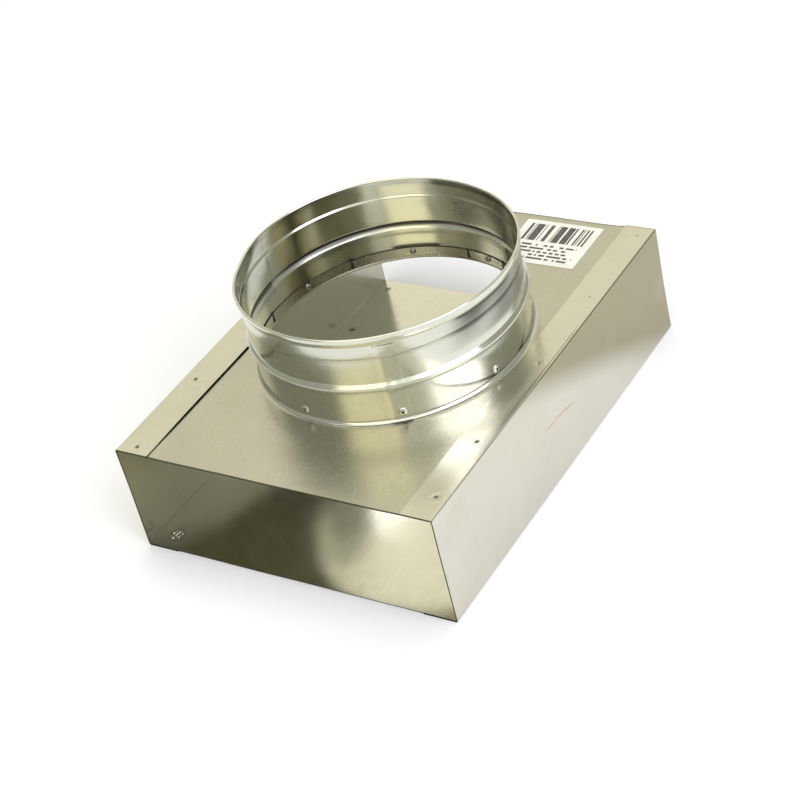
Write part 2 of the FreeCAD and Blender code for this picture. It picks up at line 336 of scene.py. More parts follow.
def bottom_plate():
    spots = [(s * (WIDTH / 2 - w), y) for s, row in ((-1, "bottom_left"), (1, "bottom_right")) for w, y in WELDS[row]]
    bx, by = spots[0]
    ys = lines(-Y_PLATE, Y_PLATE, 5.0, [p[1] for p in spots] + [by - 6.0, by + 6.0], 4.2, 0.45)
    xs = lines(-HALF_PLATE, HALF_PLATE, 5.0, sorted({p[0] for p in spots} | {bx - 6.0, bx + 6.0}), 4.2, 0.45)
    x, y = xs[None, :] + 0 * ys[:, None], ys[:, None] + 0 * xs[None, :]
    window = ease((HALF_PLATE - 26 - np.abs(x)) / 30.0)
    sag = (0.24 * waves(x, y, 41, 120.0) + 0.05 * waves(x, y, 42, 30.0)) * window
    sag = np.maximum(sag, -0.5)
    bump, mark = 0 * x, 0 * x
    for n, (xw, yw) in enumerate(spots):
        d = np.hypot(x - xw, y - yw)
        rough = 1 + 0.35 * waves(x * 1.0, y * 1.0, 90 + n, 1.6)
        bump = bump + 0.22 * np.exp(-((d / 1.5) ** 4)) * rough
        bump = bump - 0.05 * np.exp(-(((d - 2.9) / 0.7) ** 2))
        if n == 0:
            # the front left weld burst: a pale speckled patch
            speck = ease((waves(x, y, 60, 2.4) + 0.25) / 0.6)
            bump = bump + 0.14 * speck * np.exp(-((d / 5.6) ** 4))
            mark = mark + (0.25 + 1.6 * speck) * np.exp(-((d / 6.0) ** 6))
            continue
        mark = mark + (0.80 + 0.45 * waves(x, y, 60 + n, 2.2)) * np.exp(-((d / 1.9) ** 4)) + 0.35 * np.exp(-(((d - 2.7) / 0.9) ** 2))
    # the top face runs on to the webs, over their inner bends
    x = x * (1 + 0.004488 * (np.abs(x) > HALF_PLATE - 1e-6))
    top = np.stack([x, y, 2 * T + sag + bump], -1)
    x = x / (1 + 0.004488 * (np.abs(x) > HALF_PLATE + 1e-6))
    low = np.stack([x, y, T + sag], -1)
    return sheet("bottom_sheet", top, low, marks=(np.clip(mark, 0, 2), 0 * mark))


bottom = bottom_plate()


def top_plate():
    neck = [(97.82 + T / 2, 11.0), (97.82 + T / 2, 4.0)]
    rows = [(98.095, h, 1.0, 0.0) for h in (11.0, 10.6, 9.4, 8.2, 7.0, 5.8, 4.8)]
    for q in np.linspace(180, 270, 11):
        c, s = math.cos(math.radians(q)), math.sin(math.radians(q))
        rows.append((102.37 + 4.275 * c, 4.0 + 4.275 * s, -c, -s))
    S = np.array(rows)
    n_neck = len(S)
    corners = [
        math.degrees(math.atan2(sy * Y_PLATE - CY, sx * HALF_PLATE - CX)) % 360
        for sx in (-1, 1)
        for sy in (-1, 1)
    ]
    base = [a for a in np.arange(0, 360, 0.9)]
    for c in corners:
        base = [a for a in base if abs((a - c + 180) % 360 - 180) > 0.4]
    for c in NOTCHES:
        base = [a for a in base if abs((a - c + 180) % 360 - 180) > 1.35]
    cols = [(a % 360, None, 0.0) for a in base + corners]
    for n, c in enumerate(NOTCHES):
        for w in (-1.0, -0.4, 0.4, 1.0):
            cols.append((c % 360, n, w))
    cols.sort(key=lambda t: (t[0] + t[2] * 0.9) % 360)
    centre = np.array([c[0] for c in cols])
    w = np.array([c[2] for c in cols])
    group = [c[1] for c in cols]

    # angle of each column at each neck row: the notch narrows towards the top
    hh = S[:, 1]
    half = np.where(hh >= 3.0, 1.6 + (0.75 - 1.6) * np.clip((hh - 3.4) / 7.6, 0, 1), 1.6)
    ang = centre[:, None] + np.degrees(w[:, None] * half[None, :] / 98.2)
    t = np.radians(ang)
    # each tab leans a little by itself
    rng = np.random.default_rng(5)
    order = np.sort(np.array([n % 360 for n in NOTCHES]))
    tab = np.searchsorted(order, centre + np.sign(w) * 0.5) % len(NOTCHES)
    lean = rng.uniform(0.05, 0.42, len(NOTCHES))[tab]
    inward = lean[:, None] * np.clip((hh[None, :] - 4.0) / 7.0, 0, 1) ** 1.5
    r_out = S[None, :, 0] + S[None, :, 2] * T / 2 - inward
    r_in = S[None, :, 0] - S[None, :, 2] * T / 2 - inward
    h_out = S[None, :, 1] + S[None, :, 3] * T / 2 + 0 * inward
    h_in = S[None, :, 1] - S[None, :, 3] * T / 2 + 0 * inward
    o1 = np.stack([CX + r_out * np.cos(t), CY + r_out * np.sin(t), Z_PLATE + h_out - T / 2 * 0], -1)
    i1 = np.stack([CX + r_in * np.cos(t), CY + r_in * np.sin(t), Z_PLATE + h_in], -1)

    # flat part, from the bend out to the rectangle
    tt = np.radians(centre + np.degrees(w * 1.6 / 98.2))
    for n, a in enumerate(centre):
        if group[n] is None:
            tt[n] = math.radians(a)
    ux, uy = np.cos(tt), np.sin(tt)
    with np.errstate(divide="ignore"):
        reach = np.minimum(
            np.where(ux > 0, HALF_PLATE - CX, HALF_PLATE + CX) / np.abs(ux),
            np.where(uy > 0, Y_PLATE - CY, Y_PLATE + CY) / np.abs(uy),
        )
    f = np.linspace(0, 1, 34)[1:] ** 1.25
    rr = 102.37 + (reach[:, None] - 102.37) * f[None, :]
    x, y = CX + rr * ux[:, None], CY + rr * uy[:, None]
    window = ease((rr - 104.0) / 26.0) * ease((HALF_PLATE - 20 - np.abs(x)) / 22.0)
    sag = -0.24 * (1 + waves(x, y, 51, 105.0)) * window - 0.045 * (1 + waves(x, y, 52, 28.0)) * window
    sag = sag + 0.10 * ease((np.abs(y) - 150) / 17.0) * waves(x, 0 * y, 53, 60.0) * ease(
        (HALF_PLATE - 28 - np.abs(x)) / 12.0
    )
    sag = sag - 0.45 * ease((y - (Y_PLATE - 3.0)) / 3.0) * ease((HALF_PLATE - 25 - np.abs(x)) / 4.0)
    o2 = np.stack([x, y, Z_PLATE + sag], -1)
    i2 = np.stack([x, y, Z_PLATE - T + sag], -1)
    outer = np.concatenate([o1, o2], 1)
    inner = np.concatenate([i1, i2], 1)
    # the neck's centre line sits half a thickness under the plate's upper face
    outer[:, :n_neck, 2] -= 0.0
    keep = np.ones((len(cols), outer.shape[1] - 1), bool)
    n = len(cols)
    for i in range(n):
        e = (i + 1) % n
        if group[i] is not None and group[i] == group[e]:
            keep[i, :7] = False
    extra = []
    for s, row in ((-1, WELDS["top_left"]), (1, WELDS["top_right"])):
        for inset, yw in row:
            extra.append(lump(s * (WIDTH / 2 - inset), yw, Z_PLATE - T, 1.65, 0.28, False))
    return sheet("top_sheet", outer, inner, keep=keep, wrap=True, extra=extra)


top = top_plate()


# --------------------------------------------------------------------------
# Collar
# --------------------------------------------------------------------------
def collar():
    R_LIP, R_ABOVE, R_WALL, LIP_TOP = 101.10, 99.60, 98.675, 72.2
    line = [
        (100.537, 0.787), (R_WALL, 1.951), (R_WALL, 27.2), (101.9, 30.55), (R_WALL, 33.9),
        (R_WALL, 54.7), (R_ABOVE, 56.3), (R_ABOVE, LIP_TOP), (R_LIP, LIP_TOP),
        (R_LIP, 69.2), (100.76, 67.2), (100.20, 65.8),
    ]
    fil = (R_LIP - R_ABOVE) / 2 - 0.001
    S = rounded(line, [3.695, 0.9, 2.0, 0.9, 1.1, 1.1, fil, fil, 4.0, 3.0], seg=9, step=3.2)
    # closer stations where the neck's top edge meets the wall
    for hh in (10.7, 11.3, 12.3, 13.3, 13.9):
        i = next(k for k in range(len(S)) if S[k, 1] > hh)
        if min(S[i, 1] - hh, hh - S[i - 1, 1]) > 0.15:
            S = np.insert(S, i, (R_WALL, hh, 1.0, 0.0), 0)
    # two extra stations where the lap's outer layer ends under the lip
    cut = 64.5
    up = [i for i in range(len(S)) if abs(S[i, 0] - R_ABOVE) < 1e-3]
    at = max(i for i in up if S[i, 1] < cut)
    more = np.array([(R_ABOVE, cut, 1.0, 0.0), (R_ABOVE, cut + 0.12, 1.0, 0.0)])
    S = np.vstack([S[: at + 1], more, S[at + 1 :]])
    n_lap = at + 2

    angles = [a for a in np.arange(-180, 180, 0.9)]
    seam = [SEAM[0] - 2.6, SEAM[0] - 1.3, SEAM[0], SEAM[1], SEAM[1] + 0.06]
    angles = [a for a in angles if all(abs(a - s) > 0.25 for s in seam)] + seam
    A = np.array(sorted(angles))
    # the lap: a sharp edge on one side, a soft rise on the other
    lift = np.where((A >= SEAM[0]) & (A <= SEAM[1]), 0.45, 0.0)
    soft = 0.45 * ease((A - (SEAM[0] - 2.6)) / 2.6)
    lift = np.where(A < SEAM[0], np.where(A > SEAM[0] - 2.7, soft, 0.0), lift)
    on = np.zeros(len(S))
    on[:n_lap] = 1.0
    t = np.radians(A)[:, None]
    h = S[None, :, 1]
    arc = np.radians(A)[:, None] * 100.0
    # rolled sheet is never quite round
    wob = 0.16 * waves(arc, 0 * h + 3.0, 71, 120.0) + 0.06 * waves(arc, h, 72, 26.0)
    # the lap pushes the bead flat and pinches it
    near = np.exp(-(((A[:, None] - (SEAM[0] + 1.2)) / 1.6) ** 2)) + 0.8 * np.exp(
        -(((A[:, None] - (SEAM[1] - 0.6)) / 1.0) ** 2)
    )
    bead = np.exp(-(((h - 30.55) / 3.0) ** 2))
    wob = wob - 0.5 * near * bead
    wob = np.where(h < 4.0, wob * ease(h / 4.0), wob)
    r_o = S[None, :, 0] + S[None, :, 2] * (T / 2 + lift[:, None] * on[None, :]) + wob
    r_i = S[None, :, 0] - S[None, :, 2] * T / 2 + np.minimum(wob, 0.25)
    h_o = h + S[None, :, 3] * (T / 2 + lift[:, None] * on[None, :])
    h_i = h - S[None, :, 3] * T / 2 + 0 * t
    cap = np.clip(r_o, None, 101.375)
    r_o = np.where(h > 60, cap, np.clip(r_o, None, 101.9))
    # a shallow pull-in round each rivet, outside
    for a in RIVETS:
        d = np.hypot((A[:, None] - a + 180) % 360 - 180, 0) * math.radians(1) * 98.9
        dist = np.hypot(d, h - 7.8)
        r_o = r_o - 0.14 * np.exp(-((dist / 4.2) ** 4))
    # the hem was rolled by hand: it sits lower towards the back and pulls in a little at the left
    at = [-100, -40, -10, 20, 45, 64, 80, 96, 120, 144, 168, 200, 216, 230]
    drop = [0.0, 0.0, -0.4, -1.2, -2.5, -3.5, -3.6, -2.6, -1.9, -1.6, -1.1, -1.1, -0.5, 0.0]
    fall = np.interp(A, at, drop, period=360.0)
    fall = np.convolve(np.concatenate([fall[-12:], fall, fall[:12]]), np.ones(25) / 25, "valid")
    pull = -1.5 * np.exp(-((((A - 199.0 + 180) % 360 - 180) / 13.0) ** 2))
    high = ease((h - 57.0) / 12.0)
    outer = np.stack([CX + (r_o + pull[:, None] * high) * np.cos(t), CY + (r_o + pull[:, None] * high) * np.sin(t), Z_PLATE + h_o + fall[:, None] * high], -1)
    inner = np.stack([CX + (r_i + pull[:, None] * high) * np.cos(t), CY + (r_i + pull[:, None] * high) * np.sin(t), Z_PLATE + h_i + fall[:, None] * high], -1)
    # painted shade in the creases inside, a little patchy: along the bead's groove, in the band below it and just
    # under the rim
    patchy = 0.75 + 0.35 * waves(arc, h, 75, 40.0)
    inner_shade = 1.15 * np.exp(-(((h - 31.3) / 2.35) ** 6)) + 0.50 * np.exp(-(((h - 24.4) / 2.4) ** 4))
    inner_shade = inner_shade + 0.95 * np.exp(-(((h - 69.9) / 1.5) ** 4)) * (S[None, :, 0] < R_ABOVE + 0.2)
    # painted shade in the gap behind each notch of the neck
    for c in NOTCHES:
        off = np.abs((A[:, None] - c + 180) % 360 - 180)
        inner_shade = inner_shade + 1.3 * np.exp(-((off / 1.15) ** 4)) * ease((13.2 - h) / 1.2)
    # painted shade outside: dark lines just under the bead and at the foot of the step below the hem
    outer_shade = 0.45 * np.exp(-(((h - 26.9) / 0.5) ** 2)) + 0.5 * np.exp(-(((h - 54.6) / 0.5) ** 2))
    # painted darker reflection: the outside is darker towards the right and the back, above the bead
    turn = (A[:, None] + 180.0) % 360 - 180
    dull = ease((turn + 56.0) / 40.0) * ease((66.0 - turn) / 46.0) * ease((h - 35.0) / 7.0) * ease((67.5 - h) / 2.0)
    outer_shade = outer_shade + 0.72 * dull
    # painted shadow under the hem's overhang on the right side, outside
    under = ease((turn + 31.0) / 12.0) * ease((9.0 - turn) / 10.0)
    outer_shade = outer_shade + 0.75 * under * np.exp(-(((h - 65.0) / 1.8) ** 4))
    # painted shade inside: the shadow of the gap behind the neck at the back, and a darker painted reflection on the
    # wall at the back right
    inner_shade = inner_shade + 1.2 * ease((turn - 97.0) / 4.0) * ease((123.0 - turn) / 4.0) * np.exp(-(((h - 12.3) / 1.5) ** 6))
    inner_shade = inner_shade + 0.50 * ease((turn - 44.0) / 14.0) * ease((101.0 - turn) / 7.0) * ease((h - 34.0) / 4.0)
    # painted shade inside, thickening the dark line at the bead's groove on the left side
    left_side = ease((A[:, None] % 360 - 118.0) / 22.0) * ease((222.0 - A[:, None] % 360) / 14.0)
    inner_shade = inner_shade + 0.46 * left_side * np.exp(-(((h - 28.6) / 2.0) ** 4))
    marks = (np.clip(outer_shade * patchy, 0, 1), np.clip(inner_shade * patchy, 0, 1))
    return sheet("round_collar", outer, inner, wrap=True, marks=marks, sharp=48.0)


ring = collar()


# --------------------------------------------------------------------------
# Rivets
# --------------------------------------------------------------------------
def rivet(angle, seed):
    """Profile (x, r) turned about the rivet's own axis, then set at its angle."""
    rng = np.random.default_rng(seed)
    xh = 98.95 - 0.14 + (0.45 if SEAM[0] < angle < SEAM[1] else 0.0)
    xt = 97.78
    top = xh + 1.12
    prof = [
        (xt - 1.30, 0.0), (xt - 1.42, 0.5), (xt - 1.34, 1.05), (xt - 1.12, 1.45),
        (xt - 1.2, 1.6), (xt - 1.0, 2.02), (xt - 0.6, 2.26), (xt - 0.2, 2.33), (xt - 0.02, 2.25),
        (xt, 1.6), (xh, 1.6), (xh + 0.0, 3.10), (xh + 0.1, 3.19), (xh + 0.24, 3.2),
        (xh + 0.42, 3.05), (xh + 0.66, 2.66), (xh + 0.88, 2.12), (xh + 1.03, 1.62),
        (top, 1.28), (top - 0.02, 1.12), (top - 0.10, 1.0), (top - 0.3, 0.94), (top - 1.05, 0.9),
        (top - 1.08, 0.62), (top - 0.96, 0.3), (top - 1.02, 0.0),
    ]
    n = 40
    pts, quads, tris = [], [], []
    tilt = rng.uniform(-0.05, 0.05, 2)
    for x, r in prof:
        if r == 0.0:
            pts.append((x, 0.0, 0.0))
            continue
        for m in range(n):
            a = 2 * math.pi * m / n
            rough = 1 + (0.03 * math.sin(3 * a + seed) + 0.02 * math.sin(7 * a) if x > xh + 0.5 else 0.0)
            pts.append((x, r * rough * math.cos(a), r * rough * math.sin(a)))
    rings = len(prof) - 2
    for k in range(rings - 1):
        for m in range(n):
            e = (m + 1) % n
            a, b = 1 + k * n, 1 + (k + 1) * n
            quads.append((a + m, a + e, b + e, b + m))
    last = 1 + rings * n
    for m in range(n):
        e = (m + 1) % n
        tris.append((0, 1 + e, 1 + m))
        tris.append((last, 1 + (rings - 1) * n + m, 1 + (rings - 1) * n + e))
    P = np.array(pts)
    # painted shade: the hole where the pin broke off is darkened, and the tail inside is darker
    off = np.hypot(P[:, 1], P[:, 2])
    mark = np.where(P[:, 0] > xh + 0.02, np.clip((1.15 - off) / 0.2, 0, 1), 0.0)
    mark = np.where(P[:, 0] < xt, 0.75, mark)
    # the tilt leans only the head's dome
    d = np.clip((P[:, 0] - xh) / 1.1, 0, 1)
    P[:, 1] += tilt[0] * d * 2
    P[:, 2] += tilt[1] * d * 2
    c, s = math.cos(math.radians(angle)), math.sin(math.radians(angle))
    W = np.stack([CX + P[:, 0] * c - P[:, 1] * s, CY + P[:, 0] * s + P[:, 1] * c, Z_PLATE + 7.8 + P[:, 2]], 1)
    return W, mark, [np.array(quads), np.array(tris)]


def rivets():
    verts, faces, marks = [], [], []
    base = 0
    for n, a in enumerate(RIVETS):
        W, m, fs = rivet(a, n + 1)
        verts.append(W)
        marks.append(m)
        faces += [f + base for f in fs]
        base += len(W)
    return build("blind_rivets", np.concatenate(verts), faces, np.concatenate(marks), sharp=50.0)


studs = rivets()


# --------------------------------------------------------------------------
# Label
# --------------------------------------------------------------------------
LX, LY = (26.6, 90.0), (107.1, 160.2)


def paper():
    w, l, r = LX[1] - LX[0], LY[1] - LY[0], 1.5
    edge = [r * (1 - math.cos(q)) for q in np.linspace(0, math.pi / 2, 7)]
    ys = np.array(edge + list(np.linspace(r, l - r, 36)[1:-1]) + [l - e for e in edge[::-1]])
    inset = np.array([r - math.sqrt(max(0.0, r * r - (r - min(v, l - v)) ** 2)) if min(v, l - v) < r else 0.0 for v in ys])
    u = np.linspace(0, 1, 46)
    x = LX[0] + inset[:, None] + (w - 2 * inset[:, None]) * u[None, :]
    y = LY[0] + ys[:, None] + 0 * x
    edge_d = np.minimum(np.minimum(x - LX[0], LX[1] - x), np.minimum(y - LY[0], LY[1] - y))
    z = Z_PLATE + 0.02 + 0.035 * (1 + waves(x, y, 81, 17.0)) + 0.05 * np.exp(-edge_d / 1.4)
    window = ease((np.hypot(x - CX, y - CY) - 104.0) / 26.0) * ease((HALF_PLATE - 20 - np.abs(x)) / 22.0)
    sag = -0.24 * (1 + waves(x, y, 51, 105.0)) * window - 0.045 * (1 + waves(x, y, 52, 28.0)) * window
    sag = sag + 0.10 * ease((np.abs(y) - 150) / 17.0) * waves(x, 0 * y, 53, 60.0) * ease(
        (HALF_PLATE - 28 - np.abs(x)) / 12.0
    )
    top = np.stack([x, y, z + sag + 0.1], -1)
    low = np.stack([x, y, z + sag], -1)
    return sheet("paper_label", top, low)


tag = paper()


# --------------------------------------------------------------------------
# Materials
# --------------------------------------------------------------------------
class Graph:
    """A small helper that makes and links shader nodes."""

    def __init__(self, name):
        self.m = bpy.data.materials.new(name)
        self.m.use_nodes = True
        self.t = self.m.node_tree
        self.t.nodes.clear()

    def node(self, kind, props=None, ins=None):
        n = self.t.nodes.new(kind)
        for k, v in (props or {}).items():
            setattr(n, k, v)
        for k, v in (ins or {}).items():
            s = n.inputs[k]
            if isinstance(v, bpy.types.NodeSocket):
                self.t.links.new(v, s)
            else:
                s.default_value = v
        return n

    def math(self, op, a, b=None, c=None, clamp=False):
        ins = {0: a}
        if b is not None:
            ins[1] = b
        if c is not None:
            ins[2] = c
        return self.node("ShaderNodeMath", {"operation": op, "use_clamp": clamp}, ins).outputs[0]

    def vector(self, scale, source=None):
        source = source or self.coords()
        n = self.node("ShaderNodeVectorMath", {"operation": "MULTIPLY"}, {0: source, 1: scale})
        return n.outputs[0]

    def coords(self):
        if not hasattr(self, "co"):
            self.co = self.node("ShaderNodeTexCoord").outputs["Object"]
        return self.co

    def noise(self, vector, scale=1.0, detail=3.0, rough=0.5, distortion=0.0):
        n = self.node(
            "ShaderNodeTexNoise",
            {"noise_dimensions": "3D"},
            {"Vector": vector, "Scale": scale, "Detail": detail, "Roughness": rough, "Distortion": distortion},
        )
        return n.outputs["Fac"]

    def span(self, value, a, b, c, d, smooth=True):
        n = self.node(
            "ShaderNodeMapRange",
            {"interpolation_type": "SMOOTHSTEP" if smooth else "LINEAR", "clamp": True},
            {0: value, 1: a, 2: b, 3: c, 4: d},
        )
        return n.outputs[0]

    def mix(self, fac, a, b):
        n = self.node("ShaderNodeMix", {"data_type": "RGBA", "clamp_factor": True})
        for s, v in ((n.inputs[0], fac), (n.inputs[6], a), (n.inputs[7], b)):
            if isinstance(v, bpy.types.NodeSocket):
                self.t.links.new(v, s)
            else:
                s.default_value = v
        return n.outputs[2]


def rgb(r, g, b):
    """Linear colour from display values out of 255."""
    out = []
    for v in (r, g, b):
        v = v / 255.0
        out.append(v / 12.92 if v <= 0.04045 else ((v + 0.055) / 1.055) ** 2.4)
    return (*out, 1.0)


def zinc(name, light, dark, rough, grain_dir, seed, marks=None, bump=1.0, shade_and_scuff=False, rim=None):
    """Zinc-coated sheet: faint spangle, rolling lines along one way, soft clouding and smudges."""
    g = Graph(name)
    co = g.coords()
    shifted = g.node("ShaderNodeVectorMath", {"operation": "ADD"}, {0: co, 1: (seed * 0.37, seed * 0.11, seed * 0.23)}).outputs[0]
    cloud = g.noise(g.vector((9, 9, 9), shifted), 1.0, 4.0, 0.55, 0.4)
    streak = g.noise(g.vector(grain_dir, shifted), 1.0, 3.0, 0.6)
    streak2 = g.noise(g.vector(tuple(v * 2.7 for v in grain_dir), shifted), 1.0, 2.0, 0.5)
    cells = g.node("ShaderNodeTexVoronoi", {"feature": "F1"}, {"Vector": shifted, "Scale": 190.0, "Randomness": 1.0})
    spangle = g.node("ShaderNodeSeparateColor", None, {0: cells.outputs["Color"]}).outputs[0]
    grain = g.noise(g.vector((1500, 1500, 1500), shifted), 1.0, 2.0, 0.5)
    smudge = g.span(g.noise(g.vector((23, 17, 23), shifted), 1.0, 3.0, 0.5, 0.5), 0.52, 0.80, 0.0, 1.0)

    tone = g.math("ADD", g.math("MULTIPLY", cloud, 0.9), g.math("MULTIPLY", streak, 0.30))
    tone = g.math("ADD", tone, g.math("MULTIPLY", spangle, 0.10))
    tone = g.math("ADD", tone, g.math("MULTIPLY", smudge, 0.10))
    colour = g.mix(g.span(tone, 0.38, 1.02, 0.0, 1.0, False), light, dark)

    r = g.math("ADD", g.math("MULTIPLY", g.math("SUBTRACT", cloud, 0.5), 0.10), rough)
    r = g.math("ADD", r, g.math("MULTIPLY", g.math("SUBTRACT", spangle, 0.5), 0.03))
    r = g.math("ADD", r, g.math("MULTIPLY", g.math("SUBTRACT", streak, 0.5), 0.07))
    r = g.math("ADD", r, g.math("MULTIPLY", smudge, 0.03))
    if rim is not None:
        # the last millimetre along the sheared ends is darker
        end = g.math("ABSOLUTE", g.node("ShaderNodeSeparateXYZ", None, {0: co}).outputs[1])
        end = g.math("ADD", end, g.math("MULTIPLY", g.math("SUBTRACT", streak, 0.5), 0.0004))
        bare = g.span(end, rim, rim + 0.0003, 0.0, 0.85)
        colour = g.mix(bare, colour, rgb(50, 49, 38))
    if shade_and_scuff:
        # painted reflection: the right wall is darker and warmer towards its upper back corner
        sep = g.node("ShaderNodeSeparateXYZ", None, {0: co})
        edge = g.math("ADD", sep.outputs[1], g.math("MULTIPLY", sep.outputs[2], 2.1))
        edge = g.math("ADD", edge, g.math("MULTIPLY", g.math("SUBTRACT", cloud, 0.5), 0.008))
        wall_reflection = g.span(edge, 0.118, 0.182, 0.0, 1.0)
        wall_reflection = g.math("MULTIPLY", wall_reflection, g.span(sep.outputs[0], 0.1270, 0.1281, 0.0, 0.92, False))
        colour = g.mix(wall_reflection, colour, rgb(148, 143, 112))
        # a rusty scuff on the same wall, and a thin line of painted shade along the middle of its top edge
        wander = g.math("MULTIPLY", g.math("SUBTRACT", g.noise(g.vector((90, 90, 90), shifted), 1.0, 2.0, 0.5), 0.5), 0.007)
        off = g.math("ADD", g.math("MULTIPLY_ADD", sep.outputs[1], 0.136, -0.0447), sep.outputs[2])
        off = g.math("ABSOLUTE", g.math("ADD", off, wander))
        scuff = g.span(off, 0.0002, 0.0016, 0.42, 0.0)
        scuff = g.math("MULTIPLY", scuff, g.span(g.math("ABSOLUTE", g.math("ADD", sep.outputs[1], 0.003)), 0.012, 0.026, 1.0, 0.0))
        scuff = g.math("MULTIPLY", scuff, g.span(sep.outputs[0], 0.1270, 0.1281, 0.0, 1.0, False))
        colour = g.mix(scuff, colour, rgb(170, 128, 110))
        shade_line = g.span(g.math("ABSOLUTE", g.math("SUBTRACT", sep.outputs[0], 0.1261)), 0.00025, 0.00065, 0.55, 0.0)
        shade_line = g.math("MULTIPLY", shade_line, g.span(g.math("ABSOLUTE", g.math("SUBTRACT", sep.outputs[1], 0.005)), 0.030, 0.045, 1.0, 0.0))
        shade_line = g.math("MULTIPLY", shade_line, g.span(sep.outputs[2], 0.0868, 0.0872, 0.0, 1.0, False))
        colour = g.mix(shade_line, colour, rgb(96, 92, 70))
    if marks is not None:
        # marks: weld marks on the sheets; on the collar the marks are painted shade and darker painted reflections
        mark = g.node("ShaderNodeAttribute", {"attribute_name": "mark"}).outputs["Fac"]
        spot = g.span(mark, 0.08, 0.85, 0.0, 1.0)
        colour = g.mix(g.math("MULTIPLY", spot, 0.86), colour, marks)
        r = g.math("ADD", r, g.math("MULTIPLY", spot, 0.20))
        # values above one are pale spatter
        pale = g.span(mark, 1.05, 1.6, 0.0, 1.0)
        colour = g.mix(pale, colour, rgb(246, 248, 240))
        r = g.math("ADD", r, g.math("MULTIPLY", pale, 0.15))
    metal = 1.0
    if marks is not None:
        metal = g.math("SUBTRACT", 1.0, g.math("MULTIPLY", pale, 0.75))
    r = g.math("MAXIMUM", r, 0.06)

    height = g.math("ADD", g.math("MULTIPLY", streak2, 0.5), g.math("MULTIPLY", streak, 0.9))
    height = g.math("ADD", height, g.math("MULTIPLY", grain, 0.22))
    height = g.math("ADD", height, g.math("MULTIPLY", cloud, 0.8))
    bumped = g.node(
        "ShaderNodeBump", None, {"Strength": 0.35 * bump, "Distance": 0.00012, "Height": height}
    ).outputs[0]
    shader = g.node(
        "ShaderNodeBsdfPrincipled",
        None,
        {"Base Color": colour, "Metallic": metal, "Roughness": r, "Normal": bumped},
    )
    out = g.node("ShaderNodeOutputMaterial")
    g.t.links.new(shader.outputs[0], out.inputs[0])
    return g.m


def cut_steel():
    """The sheared edge of the sheet: bare grey steel with a fine burr, dull and a little rusty."""
    g = Graph("cut_edge")
    fine = g.noise(g.vector((700, 700, 2600)), 1.0, 3.0, 0.6)
    rust = g.noise(g.vector((120, 120, 120)), 1.0, 3.0, 0.6)
    colour = g.mix(g.span(rust, 0.35, 0.72, 0.0, 1.0), rgb(54, 52, 42), rgb(36, 32, 25))
    bumped = g.node("ShaderNodeBump", None, {"Strength": 0.5, "Distance": 0.00006, "Height": fine}).outputs[0]
    shader = g.node(
        "ShaderNodeBsdfPrincipled",
        None,
        {"Base Color": colour, "Metallic": 1.0, "Roughness": g.span(fine, 0.3, 0.7, 0.42, 0.60), "Normal": bumped},
    )
    out = g.node("ShaderNodeOutputMaterial")
    g.t.links.new(shader.outputs[0], out.inputs[0])
    return g.m


LIGHT, DARK = rgb(219, 218, 204), rgb(208, 206, 190)
side_metal = zinc("galvanised_side", rgb(212, 210, 196), rgb(201, 198, 182), 0.22, (5, 60, 160), 1, marks=rgb(84, 80, 62), bump=0.6, shade_and_scuff=True, rim=0.1668)
plate_metal = zinc("galvanised_plate", rgb(194, 192, 178), rgb(181, 179, 163), 0.27, (420, 9, 420), 2, bump=0.32, rim=0.1661)
floor_metal = zinc("galvanised_floor", LIGHT, DARK, 0.17, (420, 9, 420), 3, marks=rgb(92, 92, 74), bump=0.5)
# the collar's mark colour is the painted shade and darker painted reflection laid in by collar()
collar_metal = zinc("galvanised_collar", rgb(218, 219, 205), rgb(206, 207, 191), 0.16, (7, 7, 700), 4, marks=rgb(40, 40, 31), bump=0.12)
cut_metal = cut_steel()


def rivet_metal():
    g = Graph("rivet_aluminium")
    co = g.coords()
    fine = g.noise(g.vector((900, 900, 900), co), 1.0, 3.0, 0.6)
    dirt = g.noise(g.vector((260, 260, 260), co), 1.0, 3.0, 0.6)
    colour = g.mix(g.span(dirt, 0.42, 0.68, 0.0, 1.0), rgb(224, 223, 214), rgb(182, 178, 162))
    # painted shade in the pin hole and on the tail, set by the mark attribute
    mark = g.node("ShaderNodeAttribute", {"attribute_name": "mark"}).outputs["Fac"]
    colour = g.mix(g.math("MULTIPLY", mark, 0.9), colour, rgb(70, 66, 54))
    r = g.span(fine, 0.3, 0.7, 0.20, 0.40)
    bumped = g.node("ShaderNodeBump", None, {"Strength": 0.5, "Distance": 0.00008, "Height": fine}).outputs[0]
    shader = g.node(
        "ShaderNodeBsdfPrincipled", None, {"Base Color": colour, "Metallic": 1.0, "Roughness": r, "Normal": bumped}
    )
    out = g.node("ShaderNodeOutputMaterial")
    g.t.links.new(shader.outputs[0], out.inputs[0])
    return g.m


